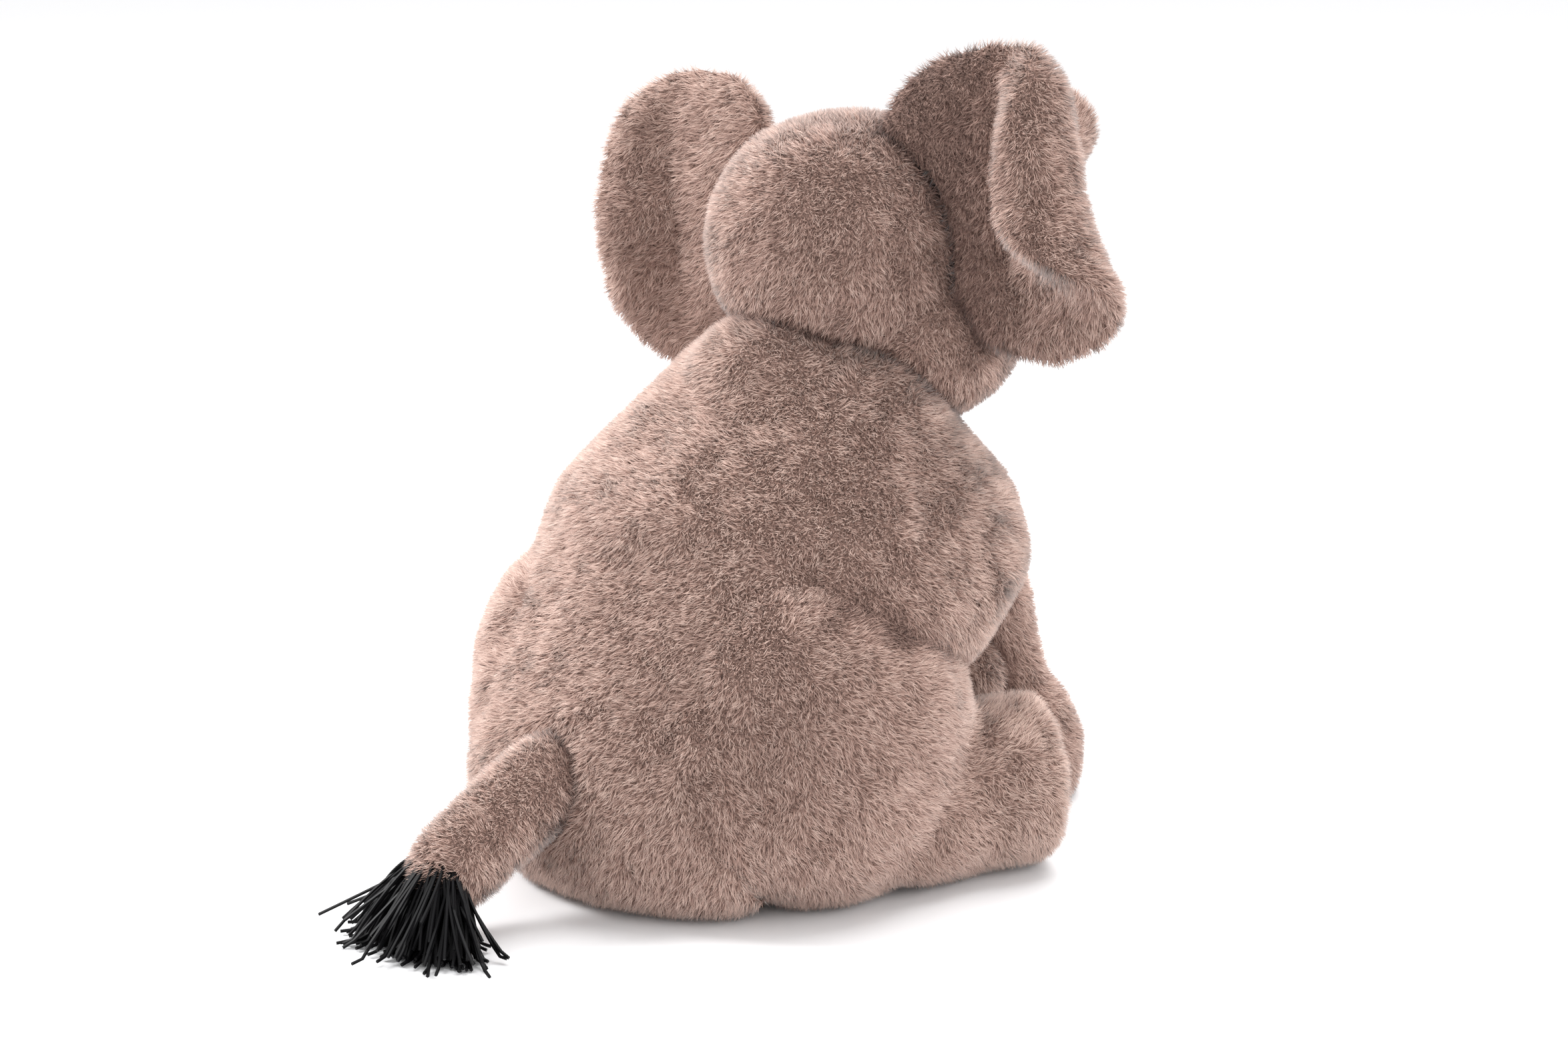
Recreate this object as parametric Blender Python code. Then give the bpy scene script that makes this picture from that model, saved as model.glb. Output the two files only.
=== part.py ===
"""A seated, stuffed plush elephant, as separate sewn panels, stuffing and trim.

It faces -Y and sits on z = 0; its own left side is +X. Every stuffed form is a loft or a turned
solid. Its skin is the form's outer layer, CLOTH thick, split at seam planes into panels, and its
stuffing is what is left inside. Pieces that meet keep the gap GAP. Where a part moves, its parent is
cut clear of every place that the part reaches.
"""
import math

import bmesh
import bpy
from mathutils import Matrix, Vector

GAP = 0.0003           # between pieces that touch
CLOTH = 0.0026         # pile fabric with its backing, pressed flat
PLAY = 0.0006          # clearance of a moving part at rest
BALL_PLAY = 0.0016     # the same around the ball at a limb's root

# torso: height, forward shift of the centre, half width, half depth
TORSO = (
    (0.000, 0.029, 0.058, 0.048), (0.006, 0.029, 0.069, 0.058), (0.0235, 0.028, 0.076, 0.062),
    (0.045, 0.021, 0.079, 0.068), (0.066, 0.012, 0.082, 0.073), (0.086, -0.002, 0.088, 0.081),
    (0.106, -0.018, 0.090, 0.086), (0.128, -0.027, 0.081, 0.077), (0.148, -0.026, 0.067, 0.063),
    (0.164, -0.028, 0.057, 0.044), (0.180, -0.031, 0.044, 0.028), (0.189, -0.032, 0.024, 0.013),
)
SEAT_SEAM = 0.013      # height of the seam around the seat panel
BELLY_SEAM_Y = -0.046  # where the side seams cross z = 0.1
BELLY_LEAN = math.radians(29)

# head: nearly round, turned and tilted a little towards the elephant's own left
HEAD = Vector((0.0, -0.053, 0.217))
HEAD_RADIUS = (0.049, 0.051, 0.049)
HEAD_TURN = math.radians(8)
HEAD_TILT = math.radians(7)
GUSSET = 0.0165        # half width of the middle panel
NECK_RADIUS = 0.0522   # of the hollow that the head turns in
HEAD_FRAME = (Matrix.Translation(HEAD) @ Matrix.Rotation(HEAD_TURN, 4, "Z")
              @ Matrix.Rotation(HEAD_TILT, 4, "Y"))

# trunk, in the head's frame: forward, up, radius; its root is a ball in a socket of the head
TRUNK = (
    (0.044, -0.0300, 0.0272), (0.070, -0.025, 0.0236), (0.091, -0.009, 0.0210), (0.110, 0.008, 0.0185),
    (0.130, 0.021, 0.0165), (0.146, 0.0295, 0.0158), (0.1485, 0.0305, 0.0135),
)

# ears, in the head's frame
EAR_ROOT = 0.041       # from the head's middle to the hinge
EAR_CENTRE = (0.032, 0.002)
EAR_HALF = (0.040, 0.0565)
EAR_LEAN = math.radians(15)
EAR_THICK = 0.0235
EAR_CLEAR = 0.0036      # between the ear's root and the head, for the flap
EAR_SWEEP = {"left": math.radians(2), "right": math.radians(9)}

# eyes, in the head's frame
EYE = (0.030, -0.0385, 0.006)
EYE_RADIUS = 0.0062
SHANK = (0.0018, 0.013)
WASHER = (0.0080, 0.0014)

# hind legs: a thigh turned about the hip axis, and a foot that points forward and out
HIP = Vector((0.046, 0.012, 0.051))
THIGH_RADIUS = 0.056
THIGH_OUT = 0.052
THIGH_IN = 0.0165
THIGH_SIDES = 18
THIGH_ROOM = 0.0017    # its corners pass here as it turns
HIND_FOOT = (
    (0.056, -0.010, 0.0315, 0.0275), (0.0670, -0.031, 0.0292, 0.0288), (0.0755, -0.052, 0.0300, 0.0302),
    (0.0823, -0.0675, 0.0300, 0.0298), (0.0840, -0.0710, 0.0300, 0.0235),
)
HIND_SPLIT = 0.0685
HIND_RISE = 9

# front legs: across, forward, height, half width, half depth; each hangs from a ball
FRONT_LEG = (
    (0.0350, -0.0900, 0.086, 0.0185, 0.0185), (0.0330, -0.1005, 0.066, 0.0152, 0.0162),
    (0.0325, -0.1075, 0.050, 0.0150, 0.0160), (0.0325, -0.1130, 0.040, 0.0185, 0.0205),
    (0.0325, -0.1160, 0.024, 0.0220, 0.0260), (0.0325, -0.1165, 0.008, 0.0210, 0.0250),
    (0.0325, -0.1165, 0.000, 0.0175, 0.0215),
)
SOLE_THICK = 0.0032

# tail: back, up, radius, from a ball; the tuft: back, up, half width, half height
TAIL = ((0.091, 0.0465, 0.0140), (0.104, 0.040, 0.0140), (0.118, 0.033, 0.0136), (0.132, 0.026, 0.0130))
TUFT = (
    (0.123, 0.0311, 0.0064, 0.0064), (0.134, 0.0255, 0.0064, 0.0064), (0.146, 0.0192, 0.0140, 0.0095),
    (0.160, 0.0120, 0.0220, 0.0085), (0.172, 0.0072, 0.0240, 0.0050),
)
BINDING = (0.0070, 0.0092, 0.0024)   # inner and outer radius, length
PELLETS = (0.0255, 0.040, 0.014)

TAUPE = (0.300, 0.215, 0.180)
STUFFING = (0.780, 0.770, 0.740)
BLACK = (0.012, 0.011, 0.012)
SIDES = {"left": 1, "right": -1}


# ---------------------------------------------------------------- meshes

def mesh_from(build):
    """A mesh whose shape build(bm) makes, with its faces pointing out."""
    bm = bmesh.new()
    build(bm)
    bmesh.ops.recalc_face_normals(bm, faces=bm.faces)
    mesh = bpy.data.meshes.new("form")
    bm.to_mesh(mesh)
    bm.free()
    return mesh


def loft(sections, segments, power=2.0):
    """A closed form through sections (centre, across, up, half across, half up)."""
    def build(bm):
        rings = []
        for centre, across, up, half_across, half_up in sections:
            ring = []
            for k in range(segments):
                turn = 2 * math.pi * k / segments
                c, s = math.cos(turn), math.sin(turn)
                x = math.copysign(abs(c) ** (2 / power), c) * half_across
                y = math.copysign(abs(s) ** (2 / power), s) * half_up
                ring.append(bm.verts.new(Vector(centre) + across * x + up * y))
            rings.append(ring)
        for low, high in zip(rings, rings[1:]):
            for k in range(segments):
                n = (k + 1) % segments
                bm.faces.new((low[k], low[n], high[n], high[k]))
        bm.faces.new(rings[0][::-1])
        bm.faces.new(rings[-1])
    return mesh_from(build)


def level_sections(rows, side=1):
    """Horizontal sections from rows (across, forward, height, half width, half depth)."""
    return [((side * x, y, z), Vector((1, 0, 0)), Vector((0, 1, 0)), a, b) for x, y, z, a, b in rows]


def path_sections(points, radii):
    """Round sections square to a path; radii holds a radius or (half across, half up) for each."""
    points = [Vector(p) for p in points]
    sections = []
    for i, centre in enumerate(points):
        ahead = points[min(i + 1, len(points) - 1)] - points[max(i - 1, 0)]
        across = ahead.cross(Vector((0, 0, 1))).normalized()
        up = across.cross(ahead).normalized()
        half = radii[i] if isinstance(radii[i], tuple) else (radii[i], radii[i])
        sections.append((centre, across, up, half[0], half[1]))
    return sections


def ellipsoid(centre, radii, segments, rings):
    def build(bm):
        bmesh.ops.create_uvsphere(bm, u_segments=segments, v_segments=rings, radius=1)
        bmesh.ops.scale(bm, vec=radii, verts=bm.verts)
        bmesh.ops.translate(bm, vec=centre, verts=bm.verts)
    return mesh_from(build)


def tube(start, end, radius, segments=12):
    start, end = Vector(start), Vector(end)

    def build(bm):
        middle = Matrix.Translation((start + end) / 2)
        turn = (end - start).to_track_quat("Z", "Y").to_matrix().to_4x4()
        bmesh.ops.create_cone(bm, cap_ends=True, segments=segments, radius1=radius, radius2=radius,
                              depth=(end - start).length, matrix=middle @ turn)
    return mesh_from(build)


def half_space(point, normal):
    """The side of a plane that its normal points to."""
    return Vector(point), Vector(normal).normalized()


def kept(mesh, *spaces):
    """What a solid mesh has inside all the half spaces, with each cut filled."""
    bm = bmesh.new()
    bm.from_mesh(mesh)
    for point, normal in spaces:
        geometry = bm.verts[:] + bm.edges[:] + bm.faces[:]
        cut = bmesh.ops.bisect_plane(bm, geom=geometry, dist=1e-7, plane_co=point, plane_no=-normal,
                                     clear_outer=True)
        edges = [item for item in cut["geom_cut"] if isinstance(item, bmesh.types.BMEdge)]
        bmesh.ops.triangle_fill(bm, edges=edges, use_beauty=True, normal=-normal)
    bmesh.ops.recalc_face_normals(bm, faces=bm.faces)
    result = bpy.data.meshes.new("kept")
    bm.to_mesh(result)
    bm.free()
    return result


def moved(mesh, matrix):
    copy = mesh.copy()
    copy.transform(matrix)
    if matrix.determinant() < 0:
        copy.flip_normals()
    return copy


def swollen(mesh, distance):
    """The form with its surface moved out by distance, or in where that is negative."""
    bm = bmesh.new()
    bm.from_mesh(mesh)
    bm.normal_update()
    steps = [(v, v.normal * distance * min(v.calc_shell_factor(), 1.6)) for v in bm.verts]
    for v, step in steps:
        v.co += step
    copy = bpy.data.meshes.new("swollen")
    bm.to_mesh(copy)
    bm.free()
    return copy


def turned(mesh, pivot, axis, degrees):
    place = Matrix.Translation(pivot)
    return moved(mesh, place @ Matrix.Rotation(math.radians(degrees), 4, axis) @ place.inverted())


def combined(first, second, operation):
    """The two closed meshes joined (UNION), cut (DIFFERENCE) or limited (INTERSECT)."""
    objects = [bpy.data.objects.new("operand", mesh) for mesh in (first, second)]
    for obj in objects:
        bpy.context.scene.collection.objects.link(obj)
    modifier = objects[0].modifiers.new("combine", "BOOLEAN")
    modifier.operation = operation
    modifier.solver = "EXACT"
    modifier.object = objects[1]
    graph = bpy.context.evaluated_depsgraph_get()
    result = bpy.data.meshes.new_from_object(objects[0].evaluated_get(graph))
    for obj in objects:
        bpy.data.objects.remove(obj)
    return result


def carved(mesh, cutters):
    for cutter in cutters:
        mesh = combined(mesh, cutter, "DIFFERENCE")
    return mesh


def panel(form, hollow, *spaces):
    """The part of a form's skin that lies in the spaces; hollow is what the skin wraps."""
    return combined(kept(form, *spaces), hollow, "DIFFERENCE")


def stuffing_of(form):
    return swollen(form, -(CLOTH + GAP))


# ---------------------------------------------------------------- pieces

def material(name, colour, roughness):
    """The material of that name, made the first time that it is asked for."""
    found = bpy.data.materials.get(name)
    if found:
        return found
    made = bpy.data.materials.new(name)
    made.use_nodes = True
    shader = made.node_tree.nodes["Principled BSDF"]
    shader.inputs["Base Color"].default_value = (*colour, 1)
    shader.inputs["Roughness"].default_value = roughness
    return made


def tidied(mesh):
    """The largest body of a mesh, without the crumbs that a cut leaves, in triangles."""
    bm = bmesh.new()
    bm.from_mesh(mesh)
    left = set(bm.faces)
    bodies = []
    while left:
        body, front = set(), [left.pop()]
        while front:
            face = front.pop()
            body.add(face)
            for edge in face.edges:
                for other in edge.link_faces:
                    if other in left:
                        left.remove(other)
                        front.append(other)
        bodies.append(body)
    largest = max(bodies, key=lambda body: sum(face.calc_area() for face in body))
    crumbs = [face for body in bodies if body is not largest for face in body]
    bmesh.ops.delete(bm, geom=crumbs, context="FACES")
    bmesh.ops.dissolve_limit(bm, angle_limit=0.002, verts=bm.verts, edges=bm.edges)
    bmesh.ops.triangulate(bm, faces=bm.faces)
    bm.to_mesh(mesh)
    bm.free()
    return mesh


def pivot_empty(name, place, parent=None):
    """The empty that a moving body's pieces hang from, on its joint's axis."""
    empty = bpy.data.objects.new(name, None)
    bpy.context.scene.collection.objects.link(empty)
    empty.empty_display_size = 0.02
    empty.parent = parent
    origin = Vector(parent["place"]) if parent else Vector()
    empty.location = Vector(place) - origin
    empty["place"] = tuple(place)
    return empty


def piece(name, mesh, finish, pivot=None):
    """One named part, with its origin on its pivot where it moves."""
    mesh = tidied(mesh)
    mesh.name = name
    if pivot:
        mesh.transform(Matrix.Translation(-Vector(pivot["place"])))
    mesh.materials.clear()
    mesh.materials.append(finish)
    mesh.shade_smooth()
    mesh.set_sharp_from_angle(angle=math.radians(40))
    obj = bpy.data.objects.new(name, mesh)
    bpy.context.scene.collection.objects.link(obj)
    obj.parent = pivot
    return obj


def plush(name):
    return material("plush_" + name, TAUPE, 0.95)


def stuffing_finish():
    return material("stuffing", STUFFING, 1.0)


# ---------------------------------------------------------------- forms

def torso_form():
    rows = [(0, y, z, a, b) for z, y, a, b in TORSO]
    return loft(level_sections(rows), 22, 2.15)


def head_form():
    """The head without its trunk, in the room's frame."""
    ball = ellipsoid((0, 0, 0), HEAD_RADIUS, 20, 11)
    ball.transform(HEAD_FRAME)
    return ball


def domed(sections, ahead):
    """The sections with half a ball before the first one, where the form turns in its socket."""
    centre, across, up, radius, _ = sections[0]
    dome = []
    for degrees in (74, 36):
        out, back = math.cos(math.radians(degrees)), math.sin(math.radians(degrees))
        dome.append((Vector(centre) - ahead * radius * back, across, up, radius * out, radius * out))
    return dome + sections


def socket(centre, radius):
    """The space that a ball root needs to turn in."""
    larger = radius + BALL_PLAY
    return ellipsoid(centre, (larger, larger, larger), 16, 9)


def trunk_form():
    points = [Vector((0, -forward, up)) for forward, up, _ in TRUNK]
    sections = path_sections(points, [radius for *_, radius in TRUNK])
    form = loft(domed(sections, (points[1] - points[0]).normalized()), 14)
    form.transform(HEAD_FRAME)
    return form


def ear_frame(side, sweep_angle):
    """From an ear's own frame (out, forward, up) to the room's."""
    mirror = Matrix.Diagonal((SIDES[side], -1, 1, 1))
    place = Matrix.Translation((SIDES[side] * EAR_ROOT, 0, 0.008))
    swing = Matrix.Rotation(-SIDES[side] * sweep_angle, 4, "Z")
    return HEAD_FRAME @ place @ swing @ mirror


def ear_point(out, thick, up):
    """Bends a flat ear: it leaves the head forward, then curls back, more so at its top."""
    curl = 1.0 - 0.55 * min(max((0.030 - up) / 0.07, 0.0), 1.0)
    start, end = math.radians(34) * curl, math.radians(-46) * curl
    length = EAR_CENTRE[0] + EAR_HALF[0]
    share = min(max(out / length, 0.0), 1.0)
    heading = start + (end - start) * share
    straight = out - share * length
    x, y = math.cos(heading) * straight, math.sin(heading) * straight
    steps = 12
    for i in range(steps):
        angle = start + (end - start) * share * (i + 0.5) / steps
        x += math.cos(angle) * share * length / steps
        y += math.sin(angle) * share * length / steps
    return Vector((x - math.sin(heading) * thick, y + math.cos(heading) * thick, up))


def ear_pad(frame, front, back):
    """A closed pad inside the ear's outline; each face is an inset and its height at each share."""
    spokes = 18
    rings = (0.50, 0.82, 1.0)

    def rim(turn, share, inset):
        c, s = math.cos(turn), math.sin(turn)
        power = 2 / 2.35
        x = math.copysign(abs(c) ** power, c) * (EAR_HALF[0] - inset) * share
        z = math.copysign(abs(s) ** power, s) * (EAR_HALF[1] - inset) * share
        out = EAR_CENTRE[0] + x * math.cos(EAR_LEAN) - z * math.sin(EAR_LEAN)
        return out, EAR_CENTRE[1] + x * math.sin(EAR_LEAN) + z * math.cos(EAR_LEAN)

    def build(bm):
        rims = []
        for inset, level in (front, back):
            out, up = rim(0, 0, inset)
            middle = bm.verts.new(ear_point(out, level(0), up))
            inner = None
            for share in rings:
                corners = [rim(2 * math.pi * k / spokes, share, inset) for k in range(spokes)]
                ring = [bm.verts.new(ear_point(o, level(share), u)) for o, u in corners]
                for k in range(spokes):
                    n = (k + 1) % spokes
                    if inner:
                        bm.faces.new((inner[k], ring[k], ring[n], inner[n]))
                    else:
                        bm.faces.new((middle, ring[k], ring[n]))
                inner = ring
            rims.append(inner)
        for k in range(spokes):
            n = (k + 1) % spokes
            bm.faces.new((rims[0][k], rims[0][n], rims[1][n], rims[1][k]))
    return moved(mesh_from(build), frame)


def crown(half_thick, lift):
    """Height of a pad's surface over its middle layer at a share of the way to the rim."""
    return lambda share: half_thick * max(1 - share ** 2.6, 0.0) ** 0.5 + lift


def ear_meshes(side):
    """The ear's front and back layers and its stuffing, in the room's frame."""
    frame = ear_frame(side, EAR_SWEEP[side])
    half = EAR_THICK / 2
    layers = []
    for way in (1, -1):
        outer = crown(half, GAP / 2)
        inner = crown(half - CLOTH, GAP / 2)
        layers.append(ear_pad(frame, (0, lambda share: way * outer(share)),
                              (CLOTH, lambda share: way * inner(share))))
    core = crown(half - CLOTH - GAP, 0.0001)
    inset = CLOTH + GAP
    stuffing = ear_pad(frame, (inset, core), (inset, lambda share: -core(share)))
    return layers[0], layers[1], stuffing


def thigh_form(side, room=0.0):
    """A dome turned about the hip axis, with a flat inner face; room is left round it."""
    widest = THIGH_RADIUS + room
    inner = -THIGH_IN - room
    profile = [(inner, 0.0), (inner, widest * 0.90), (0.0, widest)]
    for share in (0.35, 0.62, 0.82, 0.95):
        profile.append((THIGH_OUT * share, widest * (1 - share ** 2.35) ** (1 / 2.35)))
    profile.append((THIGH_OUT, widest * 0.25))
    sections = []
    for x, radius in profile:
        centre = (SIDES[side] * (HIP.x + x), HIP.y, HIP.z)
        half = max(radius, 0.0006)
        sections.append((centre, Vector((0, 1, 0)), Vector((0, 0, 1)), half, half))
    return loft(sections, THIGH_SIDES)


def hind_foot_form(side):
    points = [(SIDES[side] * x, y, z) for x, y, z, _ in HIND_FOOT]
    return loft(path_sections(points, [radius for *_, radius in HIND_FOOT]), 14)


def front_leg_form(side):
    return loft(domed(level_sections(FRONT_LEG, SIDES[side]), Vector((0, 0, -1))), 12)


def tail_form():
    points = [Vector((0, y, z)) for y, z, _ in TAIL]
    sections = path_sections(points, [radius for *_, radius in TAIL])
    return loft(domed(sections, (points[1] - points[0]).normalized()), 10)


def tuft_form():
    points = [(0, y, z) for y, z, _, _ in TUFT]
    return loft(path_sections(points, [(a, b) for *_, a, b in TUFT]), 12)


# ---------------------------------------------------------------- parts

def make_torso(feet):
    """Cuts the torso clear of everything that sits in it, then splits it."""
    form = torso_form()
    neck = ellipsoid((0, 0, 0), [NECK_RADIUS, NECK_RADIUS, HEAD_RADIUS[2] + PLAY], 20, 11)
    neck.transform(HEAD_FRAME)
    cutters = [neck, socket((0, TAIL[0][0], TAIL[0][1]), TAIL[0][2])]
    for side, sign in SIDES.items():
        cutters.append(thigh_form(side, THIGH_ROOM))
        foot = swollen(feet[side], PLAY)
        hip = (sign * HIP.x, HIP.y, HIP.z)
        cutters += [turned(foot, hip, "X", -HIND_RISE), foot]
        cutters.append(socket((sign * FRONT_LEG[0][0], *FRONT_LEG[0][1:3]), FRONT_LEG[0][3]))
    outer = carved(form, cutters)
    hollow = swollen(form, -CLOTH)
    pouch = ellipsoid((0, 0.028, CLOTH + GAP + PELLETS[2]), PELLETS, 16, 7)
    stuffing = carved(stuffing_of(form), cutters + [swollen(pouch, GAP)])

    above = half_space((0, 0, SEAT_SEAM + GAP), (0, 0, 1))
    lean = Vector((0, -math.cos(BELLY_LEAN), -math.sin(BELLY_LEAN)))
    seam = Vector((0, BELLY_SEAM_Y, 0.1))
    behind = half_space(seam - lean * GAP, -lean)
    seat = panel(outer, hollow, half_space((0, 0, SEAT_SEAM), (0, 0, -1)))
    piece("seat_panel", seat, plush("seat"))
    piece("belly_panel", panel(outer, hollow, above, half_space(seam, lean)), plush("belly"))
    for side, sign in SIDES.items():
        half = panel(outer, hollow, above, behind, half_space((sign * GAP / 2, 0, 0), (sign, 0, 0)))
        piece("back_panel_" + side, half, plush("back_" + side))
    piece("torso_stuffing", stuffing, stuffing_finish())
    piece("pellet_pouch", pouch, material("pellet_cloth", (0.55, 0.52, 0.48), 0.9))


def make_head(form, trunk, ears):
    pivot = pivot_empty("neck_pivot", HEAD)
    trunk_place = HEAD_FRAME @ Vector((0, -TRUNK[0][0], TRUNK[0][1]))
    across = HEAD_FRAME.to_3x3() @ Vector((1, 0, 0))
    cutters = [socket(trunk_place, TRUNK[0][2])]
    washers = []
    for side, sign in SIDES.items():
        eye, shank, washer = eye_meshes(sign)
        cutters += [swollen(eye, GAP), swollen(washer, GAP)]
        washers.append((side, combined(eye, shank, "UNION"), carved(washer, [swollen(shank, GAP)])))
        cutters.append(swollen(shank, GAP))
    outer = carved(form, cutters)
    hollow = swollen(form, -CLOTH)
    inside = [half_space(HEAD_FRAME @ Vector((sign * GUSSET, 0, 0)), -sign * across) for sign in (1, -1)]
    piece("head_gusset", panel(outer, hollow, *inside), plush("head_gusset"), pivot)
    for side, sign in SIDES.items():
        edge = HEAD_FRAME @ Vector((sign * (GUSSET + GAP), 0, 0))
        cheek = panel(outer, hollow, half_space(edge, sign * across))
        piece("head_side_" + side, cheek, plush("head_" + side), pivot)
    piece("head_stuffing", carved(stuffing_of(form), cutters), stuffing_finish(), pivot)
    for side, eye, washer in washers:
        piece("eye_" + side, eye, material("eye_" + side, BLACK, 0.08), pivot)
        piece("eye_washer_" + side, washer, material("washer", (0.80, 0.80, 0.78), 0.4), pivot)
    make_trunk(trunk, trunk_place, across, pivot)
    for side in SIDES:
        make_ear(side, ears[side], form, pivot)


def eye_meshes(sign):
    """A domed eye, its shank and its washer on one line that points at the head's middle."""
    place = Vector((sign * EYE[0], EYE[1], EYE[2]))
    inward = -place.normalized()
    dome = ellipsoid(place, (EYE_RADIUS, EYE_RADIUS, EYE_RADIUS), 12, 7)
    shank = tube(place, place + inward * SHANK[1], SHANK[0], 8)
    seat = place + inward * (EYE_RADIUS + 0.0010)
    washer = tube(seat, seat + inward * WASHER[1], WASHER[0], 12)
    for mesh in (dome, shank, washer):
        mesh.transform(HEAD_FRAME)
    return dome, shank, washer


def make_trunk(form, place, across, neck):
    """Upper and under panels, the disc on the end, and the stuffing."""
    pivot = pivot_empty("trunk_pivot", place, neck)
    end = HEAD_FRAME @ Vector((0, -TRUNK[-3][0], TRUNK[-3][1]))
    tip = HEAD_FRAME @ Vector((0, -TRUNK[-2][0], TRUNK[-2][1]))
    ahead = (tip - end).normalized()
    seam = tip - ahead * 0.002
    hollow = swollen(form, -CLOTH)
    sleeve = half_space(seam, -ahead)
    cap = panel(form, hollow, half_space(seam + ahead * GAP, ahead))
    piece("trunk_end", cap, plush("trunk_end"), pivot)
    up = across.cross(place - tip).normalized()
    up = up if up.z > 0 else -up
    low = place - up * 0.004
    upper = panel(form, hollow, sleeve, half_space(low + up * GAP, up))
    under = panel(form, hollow, sleeve, half_space(low, -up))
    piece("trunk_upper", upper, plush("trunk_upper"), pivot)
    piece("trunk_under", under, plush("trunk_under"), pivot)
    piece("trunk_stuffing", stuffing_of(form), stuffing_finish(), pivot)


def make_ear(side, meshes, head, neck):
    """Two padded layers, cut clear of the head over the whole flap."""
    front, back, stuffing = meshes
    pivot = pivot_empty("ear_pivot_" + side, ear_hinge(side), neck)
    clear = [swollen(head, EAR_CLEAR)]
    piece("ear_front_" + side, carved(front, clear), plush("ear_front_" + side), pivot)
    piece("ear_back_" + side, carved(back, clear), plush("ear_back_" + side), pivot)
    piece("ear_stuffing_" + side, carved(stuffing, clear), stuffing_finish(), pivot)


def ear_hinge(side):
    """A point on the ear's hinge, which runs along the head's own upright axis."""
    return HEAD_FRAME @ Vector((SIDES[side] * EAR_ROOT, 0, 0.008))


def make_hind_leg(side, thigh, foot):
    sign = SIDES[side]
    hip = Vector((sign * HIP.x, HIP.y, HIP.z))
    pivot = pivot_empty("hip_pivot_" + side, hip)
    form = kept(combined(thigh, foot, "UNION"), half_space((0, 0, 0), (0, 0, 1)))
    inner = combined(swollen(thigh, -CLOTH), swollen(foot, -CLOTH), "UNION")
    core = combined(stuffing_of(thigh), stuffing_of(foot), "UNION")
    above = half_space((0, 0, CLOTH), (0, 0, 1))
    hollow = kept(inner, above)
    heel = Vector((sign * HIND_FOOT[-3][0], *HIND_FOOT[-3][1:3]))
    toe = Vector((sign * HIND_FOOT[-2][0], *HIND_FOOT[-2][1:3]))
    ahead = (toe - heel).normalized()
    seam = toe + ahead * 0.0005
    leg = half_space(seam, -ahead)
    sole = panel(form, hollow, half_space(seam + ahead * GAP, ahead))
    out = Vector((sign, 0, 0))
    split = Vector((sign * HIND_SPLIT, 0, 0))
    outer_half = panel(form, hollow, leg, half_space(split + out * GAP, out))
    inner_half = panel(form, hollow, leg, half_space(split, -out))
    piece("hind_leg_outer_" + side, outer_half, plush("hind_outer_" + side), pivot)
    piece("hind_leg_inner_" + side, inner_half, plush("hind_inner_" + side), pivot)
    piece("hind_sole_" + side, sole, plush("hind_sole_" + side), pivot)
    piece("hind_leg_stuffing_" + side, kept(core, half_space((0, 0, CLOTH + GAP), (0, 0, 1))),
          stuffing_finish(), pivot)


def make_front_leg(side, form):
    place = (SIDES[side] * FRONT_LEG[0][0], *FRONT_LEG[0][1:3])
    pivot = pivot_empty("shoulder_pivot_" + side, place)
    above = half_space((0, 0, SOLE_THICK + GAP), (0, 0, 1))
    leg = panel(form, swollen(form, -CLOTH), above)
    piece("front_leg_" + side, leg, plush("front_leg_" + side), pivot)
    piece("front_sole_" + side, kept(form, half_space((0, 0, SOLE_THICK), (0, 0, -1))),
          plush("front_sole_" + side), pivot)
    higher = half_space((0, 0, SOLE_THICK + 2 * GAP), (0, 0, 1))
    piece("front_leg_stuffing_" + side, kept(stuffing_of(form), higher), stuffing_finish(), pivot)


def make_tail(form, tuft):
    pivot = pivot_empty("tail_pivot", (0, *TAIL[0][:2]))
    end, before = Vector((0, *TAIL[-1][:2])), Vector((0, *TAIL[-2][:2]))
    back = (end - before).normalized()
    middle = end - back * 0.0010
    bore = tube(middle - back * 0.010, middle + back * 0.010, BINDING[0], 14)
    ring = carved(tube(middle, middle + back * BINDING[2], BINDING[1], 14), [bore])
    hole = tube(middle - back * GAP, middle + back * 0.010, BINDING[1] + GAP, 14)
    piece("tail_skin", carved(form, [hole, bore, swollen(form, -CLOTH)]), plush("tail"), pivot)
    piece("tail_stuffing", carved(stuffing_of(form), [bore, hole]), stuffing_finish(), pivot)
    piece("tail_tuft", tuft, material("black_yarn", BLACK, 0.5), pivot)
    piece("tuft_binding", ring, material("thread", BLACK, 0.7), pivot)


def clear_scene():
    for obj in list(bpy.data.objects):
        bpy.data.objects.remove(obj, do_unlink=True)


def main():
    clear_scene()
    head = head_form()
    trunk = trunk_form()
    ears = {side: ear_meshes(side) for side in SIDES}
    thighs = {side: thigh_form(side) for side in SIDES}
    feet = {side: hind_foot_form(side) for side in SIDES}
    legs = {side: front_leg_form(side) for side in SIDES}
    tail = tail_form()
    make_torso(feet)
    make_head(head, trunk, ears)
    for side in SIDES:
        make_hind_leg(side, thighs[side], feet[side])
        make_front_leg(side, legs[side])
    make_tail(tail, tuft_form())


main()
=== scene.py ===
"""A seated plush elephant: padded skins under short dense pile, on a pale floor."""
import math

import bpy
import bmesh
import numpy as np
from mathutils import Matrix, Vector
from mathutils.bvhtree import BVHTree


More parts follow.
